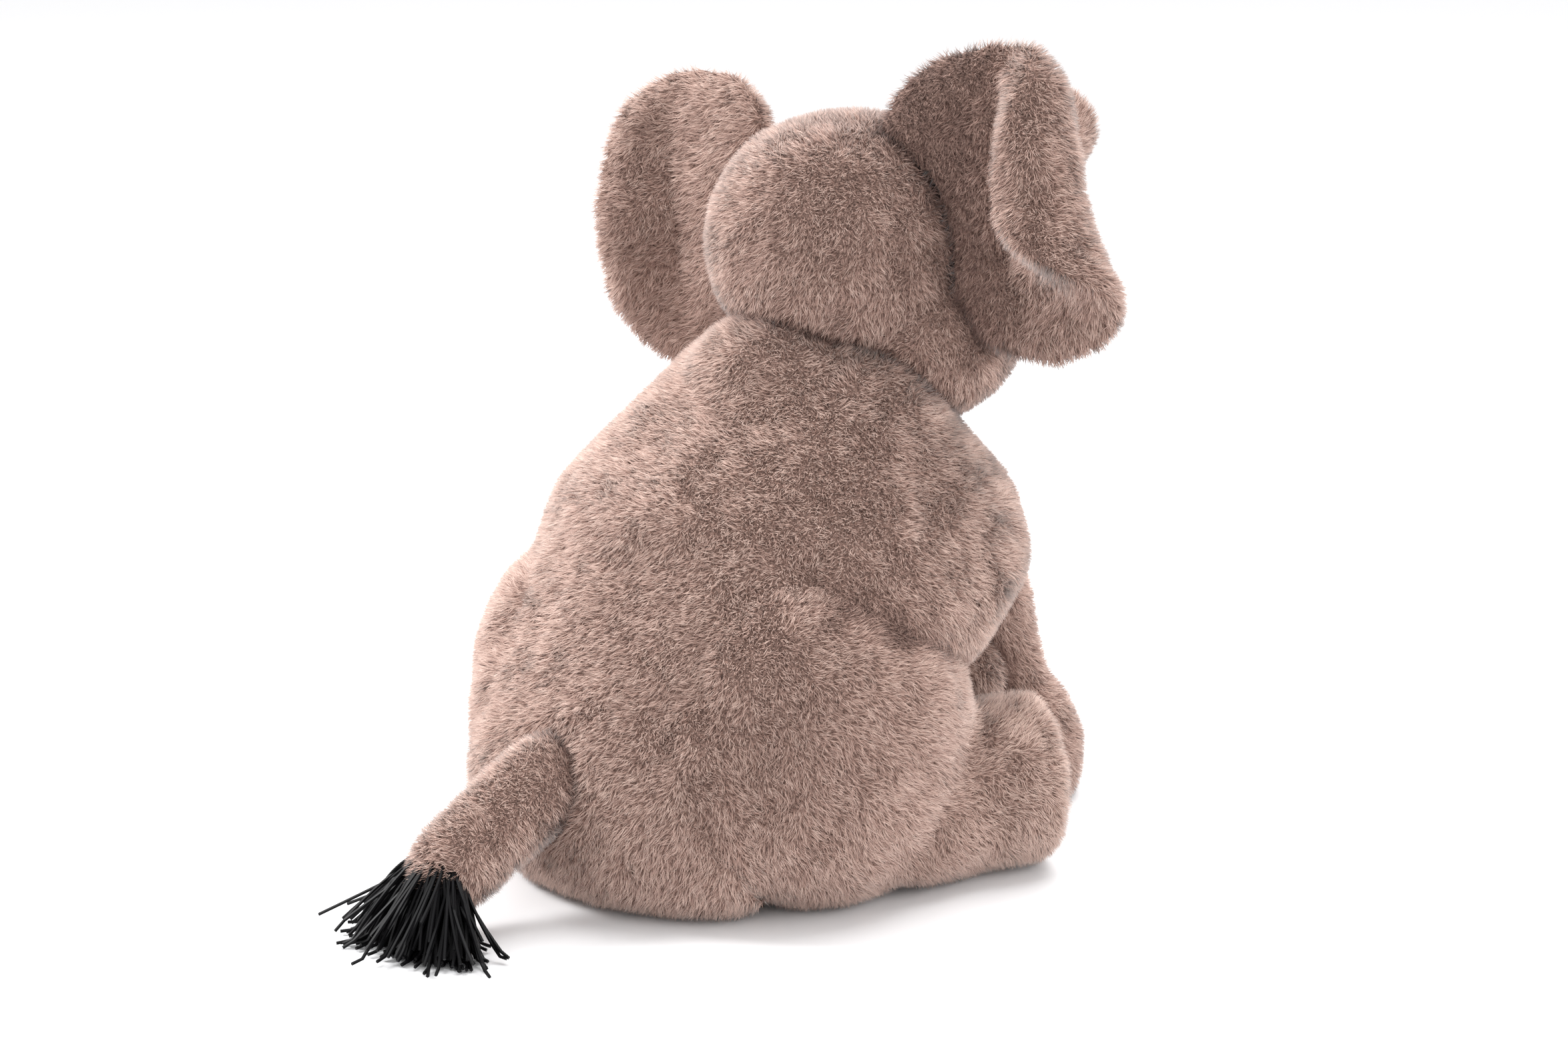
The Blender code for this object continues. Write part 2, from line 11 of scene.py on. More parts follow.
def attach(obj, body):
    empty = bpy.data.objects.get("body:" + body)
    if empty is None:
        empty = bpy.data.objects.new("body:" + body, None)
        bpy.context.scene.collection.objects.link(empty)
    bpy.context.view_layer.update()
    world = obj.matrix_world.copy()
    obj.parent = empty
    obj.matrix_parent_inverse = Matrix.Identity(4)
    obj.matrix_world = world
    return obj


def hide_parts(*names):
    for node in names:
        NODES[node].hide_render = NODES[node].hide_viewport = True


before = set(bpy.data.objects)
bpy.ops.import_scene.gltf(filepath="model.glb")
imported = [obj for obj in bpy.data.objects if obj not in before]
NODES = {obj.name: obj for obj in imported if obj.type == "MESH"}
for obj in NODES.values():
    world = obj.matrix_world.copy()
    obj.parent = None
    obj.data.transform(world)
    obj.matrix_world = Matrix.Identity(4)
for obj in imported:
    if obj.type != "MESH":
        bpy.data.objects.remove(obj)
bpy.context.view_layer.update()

# Lengths are in metres and angles in degrees, unless a name or a note says otherwise.
SIDES = {"left": 1, "right": -1}
FLOOR_CLEAR = 0.0004     # height of the lowest point above the floor

# ---- camera, lights and floor
CAMERA_TARGET = (-0.011, -0.0115, 0.121)
CAMERA_AZIMUTH, CAMERA_ELEVATION, CAMERA_DISTANCE = 226, 14, 1.2
LENS_MM, SENSOR_MM = 77, 36
# name, place, aim, side of the square lamp, watts: left and right of the main view, and above
LIGHTS = [("soft_left", (1.3, 0.9, 1.3), (0, 0, 0.12), 0.6, 40),
          ("soft_right", (-1.6, -0.5, 0.8), (0, 0, 0.12), 1.2, 10),
          ("soft_top", (-0.1, -0.5, 1.7), (0, 0, 0.1), 1.2, 22)]
FLOOR_REACH = 9
FLOOR_COLOUR, FLOOR_ROUGHNESS = (0.93, 0.93, 0.94), 0.6

# ---- finishes: backing and pile in sRGB from 0 to 255, the others in linear light
BACKING_DARK, BACKING_LIGHT, BACKING_SCALE = (92, 72, 65), (168, 138, 126), 1500
PILE_DARK, PILE_MIDDLE, PILE_LIGHT = (122, 95, 86), (193, 160, 147), (228, 200, 187)
PILE_ROOT, ROOT_SHADE_END = (165, 150, 144), 0.55     # tint at the root, share of length it fades over
WHITE = (255, 255, 255)
YARN_COLOUR, YARN_ROUGHNESS, YARN_SPECULAR = (0.0030, 0.0028, 0.0034), 0.45, 0.14
THREAD_COLOUR, THREAD_ROUGHNESS = (0.012, 0.011, 0.012), 0.6
EYE_COLOUR, EYE_ROUGHNESS, EYE_COAT = (0.010, 0.007, 0.006), 0.06, 0.6

# ---- head, in its own frame: turned to its left and tipped to one side
HEAD = np.array((0.0, -0.053, 0.217))
HEAD_TURN, HEAD_TIP = 8, 7
HEAD_FRAME = np.array(Matrix.Translation(HEAD) @ Matrix.Rotation(math.radians(HEAD_TURN), 4, "Z")
                      @ Matrix.Rotation(math.radians(HEAD_TIP), 4, "Y"))
HEAD_UP = HEAD_FRAME[:3, 2]
HEAD_AHEAD = -HEAD_FRAME[:3, 1]
EYE_OUT, EYE_AHEAD, EYE_UP, EYE_RADIUS = 0.030, -0.0385, 0.006, 0.0062

# ---- ears, in their own frame (out, forward, up)
EAR_OUT, EAR_LIFT = 0.041, 0.008     # the ear's root, from the middle of the head
EAR_MIDDLE = 0.020                   # where widening leaves the ear in place
EAR_TALL = 1.03
EAR_CORE = 0.0125                    # depth of the middle of the padding
ROLL_HEIGHTS = (-0.042, 0.010)       # the roll goes from slack to tight between these
ROLL_PLUMP, PLUMP_BEFORE, PLUMP_AFTER = 0.35, 0.010, 0.020
# sweep, radius of the roll at the top and bottom, where it starts, widening at the top and bottom,
# and the heights between which the widening changes
EAR_ROLL = {"left": (2, 0.120, 0.300, 0.036, 1.28, 1.03, (-0.020, 0.050)),
            "right": (9, 0.0260, 0.250, 0.030, 1.45, 1.13, (-0.050, 0.000))}

# ---- skins
SHRINK, REGAIN = 0.5, 0.35           # share of each step towards the neighbours, and back
# centre and radii of each haunch; the turns under them are about X
HAUNCH = {"left": ((0.050, 0.014, 0.059), (0.0450, 0.060, 0.050)),
          "right": ((-0.0515, 0.010, 0.0655), (0.0475, 0.060, 0.0525))}
HAUNCH_TURN, TAIL_TIP_TURN = 37, -27

# ---- pile
PER_CM2, STRAND_WIDE = 230, 0.00030
TUFT_SIZE = 0.0015                   # across one small tuft of pile
WARP_REACH = 0.0022                  # how far the borders between tufts wander
SEAT_HEIGHT, SEAT_FACING = 0.0012, -0.5     # nothing grows on what rests on the floor
SUNK = 0.0008                        # a root deeper than this in a neighbour gets no strand
# painted shade in creases beside neighbouring parts: how far it reaches, how fast it fades, and how
# dark it gets
CREASE_REACH, CREASE_FALL, CREASE_SHADE_DARKNESS = 0.009, 0.0042, 0.50
TURN_BY_PATCH, TURN_BY_TUFT, TURN_SPREAD = 0.50, 0.60, 0.45     # radians away from the flow
LEAN, LEAN_BY_TUFT, LEAN_SPREAD, LEAN_RANGE = 34, 16, 12, (4, 75)
SIZE_BASE, SIZE_BY_TUFT, SIZE_SPREAD = 0.86, 0.16, 0.07         # shares of the pile's length
SIZE_LEAST, SIZE_MOST = 0.2, 1.6
GATHER_BASE, GATHER_BY_TUFT = 0.14, 0.24
TONE_BASE, TONE_BY_PATCH, TONE_BY_FLECK, TONE_BY_TUFT, TONE_SPREAD = 0.55, 0.03, 0.16, 0.34, 0.13
TONE_RANGE = (0.02, 0.98)
FACES_PER_OBJECT = 190000
FIRST_SEED = 100
LENGTHS = {"torso": 0.0042, "head": 0.0040, "trunk": 0.0044, "ear_left": 0.0046, "ear_right": 0.0046,
           "hind_leg_left": 0.0042, "hind_leg_right": 0.0042, "front_leg_left": 0.0040,
           "front_leg_right": 0.0040, "tail": 0.0042}

# ---- tail tuft
TAIL_END = np.array((0, 0.1405, 0.0222))
TAIL_BACK = np.array((0, 0.865, -0.502))
TAIL_UP = np.array((0, 0.502, 0.865))
ACROSS = np.array((1.0, 0, 0))
YARN_WAY = np.array((-0.05, 0.66, -0.72))
YARN_COUNT, YARN_RADIUS, YARN_LENGTH, YARN_SIDES, YARN_POINTS = 400, 0.00062, 0.0335, 5, 11
GOLDEN_ANGLE = 2.39996               # radians
TUFT_RADIUS = 0.0098
THREAD_TURNS, THREAD_RADIUS, THREAD_SIDES, THREAD_POINTS = 4, 0.00030, 6, 25


# ---------------------------------------------------------------- camera, light, floor

def make_camera():
    target = Vector(CAMERA_TARGET)
    azimuth, elevation = math.radians(CAMERA_AZIMUTH), math.radians(CAMERA_ELEVATION)
    back = Vector((math.sin(azimuth) * math.cos(elevation), -math.cos(azimuth) * math.cos(elevation),
                   math.sin(elevation)))
    data = bpy.data.cameras.new("camera")
    data.lens = LENS_MM
    data.sensor_width = SENSOR_MM
    camera = bpy.data.objects.new("camera", data)
    camera.location = target + back * CAMERA_DISTANCE
    camera.rotation_euler = (-back).to_track_quat("-Z", "Y").to_euler()
    bpy.context.scene.collection.objects.link(camera)
    bpy.context.scene.camera = camera


def area_light(name, place, aim, size, power):
    data = bpy.data.lights.new(name, "AREA")
    data.shape = "RECTANGLE"
    data.size, data.size_y = size, size
    data.energy = power
    light = bpy.data.objects.new(name, data)
    light.location = place
    light.rotation_euler = (Vector(aim) - Vector(place)).to_track_quat("-Z", "Y").to_euler()
    bpy.context.scene.collection.objects.link(light)


def make_studio():
    scene = bpy.context.scene
    scene.view_settings.view_transform = "Standard"
    scene.view_settings.look = "None"
    scene.view_settings.exposure = 0
    world = bpy.data.worlds.new("studio")
    world.use_nodes = True
    background = world.node_tree.nodes["Background"]
    background.inputs["Color"].default_value = (1.0, 1.0, 1.0, 1)
    background.inputs["Strength"].default_value = 1.0
    scene.world = world
    for light in LIGHTS:
        area_light(*light)
    r = FLOOR_REACH
    floor = new_object("floor", np.array([(-r, -r, 0), (r, -r, 0), (r, r, 0), (-r, r, 0)], float),
                       [(0, 1, 2, 3)])
    floor.data.materials.append(plain("floor", FLOOR_COLOUR, FLOOR_ROUGHNESS))


# ---------------------------------------------------------------- meshes and materials

def link_object(name, mesh):
    obj = bpy.data.objects.new(name, mesh)
    bpy.context.scene.collection.objects.link(obj)
    return obj


def new_object(name, points, faces):
    mesh = bpy.data.meshes.new(name)
    mesh.from_pydata([tuple(p) for p in points], [], faces)
    mesh.update()
    return link_object(name, mesh)


def coordinates(mesh):
    co = np.empty(len(mesh.vertices) * 3)
    mesh.vertices.foreach_get("co", co)
    return co.reshape(-1, 3)


def set_coordinates(mesh, co):
    mesh.vertices.foreach_set("co", co.ravel())
    mesh.update()


def vertex_normals(mesh):
    n = np.empty(len(mesh.vertices) * 3)
    mesh.vertices.foreach_get("normal", n)
    return n.reshape(-1, 3)


def shader_of(material):
    return material.node_tree.nodes["Principled BSDF"]


def plain(name, colour, roughness):
    made = bpy.data.materials.new(name)
    made.use_nodes = True
    shader = shader_of(made)
    shader.inputs["Base Color"].default_value = (*colour, 1)
    shader.inputs["Roughness"].default_value = roughness
    return made


def linear(*srgb):
    """An sRGB colour from 0 to 255 as linear light from 0 to 1."""
    return tuple((c / 255 / 12.92 if c / 255 <= 0.04045 else ((c / 255 + 0.055) / 1.055) ** 2.4)
                 for c in srgb)


def ramp(tree, stops):
    node = tree.nodes.new("ShaderNodeValToRGB")
    points = node.color_ramp.elements
    while len(points) < len(stops):
        points.new(0.5)
    for point, (at, colour) in zip(points, stops):
        point.position = at
        point.color = (*linear(*colour), 1)
    return node


def pile_material(name, dark, middle, light, root):
    """Pile strands: the UV map holds the tone across u, and root to tip along v."""
    made = bpy.data.materials.new(name)
    made.use_nodes = True
    tree = made.node_tree
    shader = shader_of(made)
    shader.inputs["Roughness"].default_value = 0.85
    shader.inputs["Sheen Weight"].default_value = 0.40
    shader.inputs["Sheen Roughness"].default_value = 0.5
    shader.inputs["Specular IOR Level"].default_value = 0.25
    uv = tree.nodes.new("ShaderNodeUVMap")
    uv.uv_map = "OFBake"
    split = tree.nodes.new("ShaderNodeSeparateXYZ")
    tone = ramp(tree, [(0.0, dark), (0.5, middle), (1.0, light)])
    shade = ramp(tree, [(0.0, root), (ROOT_SHADE_END, WHITE), (1.0, WHITE)])
    mix = tree.nodes.new("ShaderNodeMix")
    mix.data_type = "RGBA"
    mix.blend_type = "MULTIPLY"
    mix.inputs[0].default_value = 1
    link = tree.links.new
    link(uv.outputs[0], split.inputs[0])
    link(split.outputs[0], tone.inputs[0])
    link(split.outputs[1], shade.inputs[0])
    link(tone.outputs[0], mix.inputs[6])
    link(shade.outputs[0], mix.inputs[7])
    link(mix.outputs[2], shader.inputs["Base Color"])
    return made


def cloth_material(name, dark, light, scale):
    """The mottled backing under the pile."""
    made = bpy.data.materials.new(name)
    made.use_nodes = True
    tree = made.node_tree
    shader = shader_of(made)
    shader.inputs["Roughness"].default_value = 0.95
    place = tree.nodes.new("ShaderNodeTexCoord")
    noise = tree.nodes.new("ShaderNodeTexNoise")
    noise.inputs["Scale"].default_value = scale
    noise.inputs["Detail"].default_value = 4
    colours = ramp(tree, [(0.35, dark), (0.68, light)])
    link = tree.links.new
    link(place.outputs["Object"], noise.inputs["Vector"])
    link(noise.outputs[0], colours.inputs[0])
    link(colours.outputs[0], shader.inputs["Base Color"])
    return made


# ---------------------------------------------------------------- stuffed forms

def ellipsoid(centre, radii, turn=0.0, segments=32):
    """A closed ellipsoid, turned about X by an angle in radians."""
    bm = bmesh.new()
    bmesh.ops.create_uvsphere(bm, u_segments=segments, v_segments=segments // 2, radius=1)
    place = Matrix.Translation(centre) @ Matrix.Rotation(turn, 4, "X") @ Matrix.Diagonal((*radii, 1))
    bmesh.ops.transform(bm, matrix=place, verts=bm.verts)
    mesh = bpy.data.meshes.new("extra")
    bm.to_mesh(mesh)
    bm.free()
    return mesh


def edges_of(mesh):
    e = np.empty(len(mesh.edges) * 2, np.int64)
    mesh.edges.foreach_get("vertices", e)
    return e.reshape(-1, 2)


def relaxed(mesh, rounds):
    """Evens the surface out, and gives part of the shrinking back in each round."""
    co = coordinates(mesh)
    e = edges_of(mesh)
    n = len(co)
    valence = np.bincount(e.ravel(), minlength=n)[:, None]
    for _ in range(rounds):
        for step in (SHRINK, -REGAIN):
            total = np.stack([np.bincount(e[:, 0], co[e[:, 1], k], n)
                              + np.bincount(e[:, 1], co[e[:, 0], k], n) for k in range(3)], axis=1)
            co = co + step * (total / valence - co)
    set_coordinates(mesh, co)


def largest_part(mesh):
    """Drops every loose part of a mesh but the one with the most vertices."""
    e = edges_of(mesh)
    label = np.arange(len(mesh.vertices))
    while True:
        low = np.minimum(label[e[:, 0]], label[e[:, 1]])
        new = label.copy()
        np.minimum.at(new, e[:, 0], low)
        np.minimum.at(new, e[:, 1], low)
        new = new[new]
        if (new == label).all():
            break
        label = new
    best = np.bincount(label).argmax()
    if (label == best).all():
        return
    bm = bmesh.new()
    bm.from_mesh(mesh)
    bmesh.ops.delete(bm, geom=[v for v in bm.verts if label[v.index] != best], context="VERTS")
    bm.to_mesh(mesh)
    bm.free()


def stuffed(name, body, nodes, voxel, inset, rounds=6, extras=(), shape=None):
    """One closed skin around CAD nodes of a body, which it replaces, and around extra fullness."""
    bm = bmesh.new()
    for node in nodes:
        bm.from_mesh(NODES[node].data)
    for extra in extras:
        bm.from_mesh(extra)
    bmesh.ops.remove_doubles(bm, verts=bm.verts, dist=1e-6)
    mesh = bpy.data.meshes.new(name)
    bm.to_mesh(mesh)
    bm.free()
    obj = link_object(name, mesh)
    modifier = obj.modifiers.new("remesh", "REMESH")
    modifier.mode = "VOXEL"
    modifier.voxel_size = voxel
    graph = bpy.context.evaluated_depsgraph_get()
    made = bpy.data.meshes.new_from_object(obj.evaluated_get(graph))
    obj.modifiers.clear()
    obj.data = made
    made.name = name
    largest_part(made)
    relaxed(made, rounds)
    co = coordinates(made) - vertex_normals(made) * inset
    if shape:
        co = shape(co, vertex_normals(made))
    co[:, 2] = np.maximum(co[:, 2], FLOOR_CLEAR)
    set_coordinates(made, co)
    made.shade_smooth()
    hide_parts(*nodes)
    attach(obj, body)
    return obj


# ---------------------------------------------------------------- noise and pile

def waves(seed, count, size):
    """A smooth random function of place, about -1 to 1, with lumps of about that size."""
    rng = np.random.default_rng(seed)
    way = rng.normal(size=(count, 3))
    way *= (2 * math.pi / size / np.linalg.norm(way, axis=1) * rng.uniform(0.6, 1.6, count))[:, None]
    phase = rng.uniform(0, 2 * math.pi, count)
    return lambda p: np.sin(p @ way.T + phase).sum(axis=1) / math.sqrt(count / 2)


def unit(v):
    return v / np.maximum(np.linalg.norm(v, axis=1), 1e-9)[:, None]


def triangles_of(mesh):
    mesh.calc_loop_triangles()
    t = np.empty(len(mesh.loop_triangles) * 3, np.int64)
    mesh.loop_triangles.foreach_get("vertices", t)
    return t.reshape(-1, 3)


def hashed(cells, seed):
    """A number from 0 to 1 for each row of whole numbers."""
    mixed = (cells[:, 0] * 73856093) ^ (cells[:, 1] * 19349663) ^ (cells[:, 2] * 83492791)
    mixed = mixed ^ (seed * 2654435761)
    mixed = (mixed ^ (mixed >> 13)) * 1274126177
    return ((mixed ^ (mixed >> 16)) & 0xFFFFF) / 0xFFFFF


WARP = [waves(71 + k, 6, 0.011) for k in range(3)]
PATCH = waves(81, 10, 0.016)
FLECK = waves(83, 26, 0.0021)


def scattered(mesh, rng):
    """Random places on a mesh, and the normals there."""
    co, normals, tris = coordinates(mesh), vertex_normals(mesh), triangles_of(mesh)
    a, b, c = co[tris[:, 0]], co[tris[:, 1]], co[tris[:, 2]]
    area = np.linalg.norm(np.cross(b - a, c - a), axis=1) / 2
    density = PER_CM2 * 1e4 * 1.0
    pick = np.repeat(np.arange(len(tris)), rng.poisson(area * density))
    r1, r2 = rng.random(len(pick)) ** 0.5, rng.random(len(pick))
    w = np.stack([1 - r1, r1 * (1 - r2), r1 * r2], axis=1)
    corner = tris[pick]
    return (np.einsum("ij,ijk->ik", w, co[corner]),
            unit(np.einsum("ij,ijk->ik", w, normals[corner])))


def open_roots(root, normal, others):
    """Which roots are in the open, and how near each is to a neighbour, from 0 to 1, for the painted
    shade in creases.
    """
    wanted = ~((root[:, 2] < SEAT_HEIGHT) & (normal[:, 2] < SEAT_FACING))
    shadow = np.zeros(len(root))
    for other in others:
        co = coordinates(other.data)
        tree = BVHTree.FromPolygons([Vector(v) for v in co],
                                    [tuple(p.vertices) for p in other.data.polygons])
        low, high = co.min(axis=0), co.max(axis=0)
        around = ((root > low - CREASE_REACH) & (root < high + CREASE_REACH)).all(axis=1)
        for i in np.flatnonzero(wanted & around):
            gap = tree.find_nearest(Vector(root[i]), CREASE_REACH)[3]
            if gap is not None:
                shadow[i] = max(shadow[i], math.exp(-(gap / CREASE_FALL) ** 2))
        for i in np.flatnonzero(wanted & ((root > low) & (root < high)).all(axis=1)):
            place, way, _, far = tree.ray_cast(Vector(root[i]), Vector(normal[i]))
            if place and far > SUNK and way.dot(Vector(normal[i])) > 0:
                wanted[i] = False
    return wanted, shadow


def pile(name, skin, body, finish, flow, length, seed, others, tint_and_shade, crease_shade_mask):
    """Covers a skin with strands that lean along flow(points), gathered into small tufts."""
    rng = np.random.default_rng(seed)
    root, normal = scattered(skin.data, rng)
    wanted, shadow = open_roots(root, normal, others)
    root, normal, shadow = root[wanted], normal[wanted], shadow[wanted]
    n = len(root)

    warped = root + WARP_REACH * np.stack([f(root) for f in WARP], axis=1)
    cells = np.floor(warped / TUFT_SIZE).astype(np.int64)
    _, cell = np.unique(cells, axis=0, return_inverse=True)
    cell = cell.ravel()
    members = np.bincount(cell)[:, None]
    centre = np.stack([np.bincount(cell, root[:, k]) for k in range(3)], axis=1) / members
    chance = hashed(cells, 3)
    swing = hashed(cells, 5) * 2 - 1

    way = flow(root)
    way = way - normal * np.einsum("ij,ij->i", way, normal)[:, None]
    way = unit(way)
    across = np.cross(normal, way)
    turn = TURN_BY_PATCH * PATCH(root) + TURN_BY_TUFT * swing + rng.normal(0, TURN_SPREAD, n)
    way = way * np.cos(turn)[:, None] + across * np.sin(turn)[:, None]
    tilt = LEAN + LEAN_BY_TUFT * (chance - 0.5) + rng.normal(0, LEAN_SPREAD, n)
    tilt = np.radians(np.clip(tilt, *LEAN_RANGE))
    size = length * (SIZE_BASE + SIZE_BY_TUFT * chance + rng.normal(0, SIZE_SPREAD, n))
    size = np.clip(size, SIZE_LEAST * length, SIZE_MOST * length)
    step = (normal * np.cos(tilt)[:, None] + way * np.sin(tilt)[:, None]) * size[:, None]
    tip = root + step
    gather = (GATHER_BASE + GATHER_BY_TUFT * hashed(cells, 9))[:, None]
    mean_step = np.stack([np.bincount(cell, step[:, k]) for k in range(3)], axis=1) / members
    tip = tip + (centre[cell] + mean_step[cell] - tip) * gather
    tip[:, 2] = np.maximum(tip[:, 2], FLOOR_CLEAR)

    side = unit(np.cross(tip - root, normal + rng.normal(0, 0.25, (n, 3))))
    up = unit(np.cross(side, tip - root))
    thick = STRAND_WIDE * 1
    wide = thick * (0.75 + 0.5 * rng.random(n))[:, None]
    ring = [root + wide * 0.5 * side, root - wide * 0.5 * side, root + wide * 0.8 * up]
    points = np.stack([*ring, tip], axis=1)
    points[:, :, 2] = np.maximum(points[:, :, 2], FLOOR_CLEAR)
    tone = (TONE_BASE + TONE_BY_PATCH * PATCH(root) + TONE_BY_FLECK * FLECK(root)
            + TONE_BY_TUFT * (chance - 0.5) + rng.normal(0, TONE_SPREAD, n))
    # a body's tone shift, which for the right ear is painted shade
    tone = tone + (tint_and_shade(root) if callable(tint_and_shade) else tint_and_shade)
    # painted shade in the creases beside neighbouring parts
    tone = np.clip(tone - CREASE_SHADE_DARKNESS * shadow * crease_shade_mask(root), *TONE_RANGE)
    shading = [0.35 * normal + 0.65 * side, 0.35 * normal - 0.65 * side, 0.6 * normal + 0.4 * up,
               0.75 * normal + 0.25 * up]
    parts = max(1, math.ceil(n * 4 / FACES_PER_OBJECT))
    order = np.argsort(root[:, 2], kind="stable")
    for k, rows in enumerate(np.array_split(order, parts)):
        label = name if parts == 1 else f"{name}_{k + 1}"
        strands = strand_object(label, points[rows], tone[rows], [unit(s[rows]) for s in shading],
                                finish)
        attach(strands, body)


def strand_object(name, points, tone, shading, finish):
    """A mesh of closed spikes, each from three root corners and a tip."""
    n = len(points)
    mesh = bpy.data.meshes.new(name)
    mesh.vertices.add(n * 4)
    mesh.vertices.foreach_set("co", points.ravel())
    base = (np.arange(n) * 4)[:, None]
    pattern = np.array([0, 2, 1, 0, 1, 3, 1, 2, 3, 2, 0, 3])
    corners = (base + pattern).ravel()
    mesh.loops.add(n * 12)
    mesh.loops.foreach_set("vertex_index", corners)
    mesh.polygons.add(n * 4)
    mesh.polygons.foreach_set("loop_start", np.arange(0, n * 12, 3))
    mesh.update(calc_edges=True)
    uv = mesh.uv_layers.new(name="OFBake")
    v = np.where(corners % 4 == 3, 0.98, 0.02)
    uv.data.foreach_set("uv", np.stack([tone[corners // 4], v], axis=1).ravel())
    mesh.shade_smooth()
    normals = np.stack(shading, axis=1).reshape(-1, 3)
    mesh.normals_split_custom_set_from_vertices([tuple(v) for v in normals])
    mesh.materials.append(finish)
    return link_object(name, mesh)


# ---------------------------------------------------------------- yarn and eyes

def tubes(name, paths, radius, sides, finish):
    """Round strands of one radius along paths, closed at both ends, in one mesh."""
    points, faces = [], []
    for path in paths:
        ahead = unit(np.gradient(path, axis=0))
        side = unit(np.cross(ahead, np.array((0.13, 0.31, 0.94))))
        up = np.cross(side, ahead)
        first = len(points)
        for k in range(len(path)):
            for turn in 2 * math.pi * np.arange(sides) / sides:
                points.append(path[k] + radius * (math.cos(turn) * side[k] + math.sin(turn) * up[k]))
        for k in range(len(path) - 1):
            low = first + k * sides
            for m in range(sides):
                n = (m + 1) % sides
                faces.append((low + m, low + n, low + sides + n, low + sides + m))
        faces.append(tuple(first + m for m in range(sides))[::-1])
        faces.append(tuple(first + (len(path) - 1) * sides + m for m in range(sides)))
    obj = new_object(name, points, faces)
    bm = bmesh.new()
    bm.from_mesh(obj.data)
    bmesh.ops.recalc_face_normals(bm, faces=bm.faces)
    bm.to_mesh(obj.data)
    bm.free()
    obj.data.shade_smooth()
    obj.data.set_sharp_from_angle(angle=math.radians(60))
    obj.data.materials.append(finish)
    return obj


def yarn_path(k, rng):
    """One strand of the tuft, which fans out, droops, and comes to rest just above the floor."""
    reach, turn = math.sqrt((k + 0.5) / YARN_COUNT), k * GOLDEN_ANGLE
    cx, cu = reach * math.cos(turn), reach * math.sin(turn)
    start = TAIL_END + TUFT_RADIUS * (cx * ACROSS + cu * TAIL_UP) - TAIL_BACK * 0.004
    spread = 0.90 * reach + rng.normal(0, 0.15)
    far = max(reach, 1e-3)
    way = YARN_WAY + spread * (1.25 * cx / far * ACROSS + 0.30 * cu / far * TAIL_UP)
    way = way / np.linalg.norm(way)
    size = YARN_LENGTH * rng.uniform(0.80, 1.10) * (1 - 0.16 * reach)
    t = np.linspace(0, 1, YARN_POINTS)[:, None]
    bend = rng.normal(0, 0.0045, 3)
    path = start + way * size * t + (bend + np.array((0, -0.001, -0.012))) * t ** 2
    low = YARN_RADIUS + FLOOR_CLEAR + 0.0025 * rng.random()
    path[:, 2] = np.where(path[:, 2] < low, low + 0.08 * (path[:, 2] - low), path[:, 2])
    path[:, 2] = np.maximum(path[:, 2], YARN_RADIUS + FLOOR_CLEAR)
    return path


def thread_path(k):
    """One turn of the thread around the root of the tuft."""
    turn = 2 * math.pi * np.arange(THREAD_POINTS)[:, None] / (THREAD_POINTS - 1)
    middle = TAIL_END + TAIL_BACK * (0.0006 * k - 0.0026)
    return middle + TUFT_RADIUS * (np.cos(turn) * ACROSS + np.sin(turn) * TAIL_UP)


def make_tuft():
    """Cut black yarn at the tail's end, and the thread that binds it."""
    rng = np.random.default_rng(5)
    yarn = plain("black_yarn", YARN_COLOUR, YARN_ROUGHNESS)
    shader_of(yarn).inputs["Specular IOR Level"].default_value = YARN_SPECULAR
    paths = [yarn_path(k, rng) for k in range(YARN_COUNT)]
    tuft = tubes("tail_yarn", paths, YARN_RADIUS, YARN_SIDES, yarn)
    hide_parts("tail_tuft")
    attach(tuft, "tail")
    thread = tubes("tuft_thread", [thread_path(k) for k in range(THREAD_TURNS)], THREAD_RADIUS,
                   THREAD_SIDES, plain("thread", THREAD_COLOUR, THREAD_ROUGHNESS))
    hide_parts("tuft_binding")
    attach(thread, "tail")


def make_eyes():
    gloss = plain("eye_gloss", EYE_COLOUR, EYE_ROUGHNESS)
    shader_of(gloss).inputs["Coat Weight"].default_value = EYE_COAT
    for side, sign in SIDES.items():
        place = HEAD_FRAME @ np.array((sign * EYE_OUT, EYE_AHEAD, EYE_UP, 1))
        eye = link_object("eye_dome_" + side, ellipsoid(place[:3], (EYE_RADIUS,) * 3))
        eye.data.shade_smooth()
        eye.data.materials.append(gloss)
        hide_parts("eye_" + side)
        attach(eye, "head")


# ---------------------------------------------------------------- the elephant's own shapes

def both(pattern, side):
    return [p + "_" + side for p in pattern]

LUMPS = waves(21, 9, 0.042)
RIPPLES = waves(22, 12, 0.017)


def lumpy(co, normal):
    """The unevenness of hand stuffing."""
    return co + normal * (0.00045 * LUMPS(co) + 0.00025 * RIPPLES(co))[:, None]


def bump(x, middle, width):
    return np.exp(-((x - middle) / width) ** 2)


def settled(co, normal):
    """The torso sags: fuller just above the seat, and uneven at the flanks."""
    away = unit((co - np.array((0, 0.012, 0))) * np.array((1, 1, 0)))
    height = co[:, 2]
    leftness = smooth_step(away @ np.array((0.695, 0.719, 0)), -0.3, 0.6)
    swell = 0.0070 * bump(height, 0.038, 0.029)
    swell += leftness * (0.0030 * bump(height, 0.134, 0.022) - 0.0026 * bump(height, 0.096, 0.018))
    swell += (1 - leftness) * 0.0018 * bump(height, 0.102, 0.018)
    return lumpy(co + away * swell[:, None], normal)


def crowned(co, normal):
    """The head, a little flat on top."""
    up = (co - HEAD) @ HEAD_UP
    return lumpy(co - HEAD_UP * (0.0060 * smooth_step(up, 0.028, 0.068))[:, None], normal)


def smooth_step(x, low, high):
    t = np.clip((x - low) / (high - low), 0, 1)
    return t * t * (3 - 2 * t)


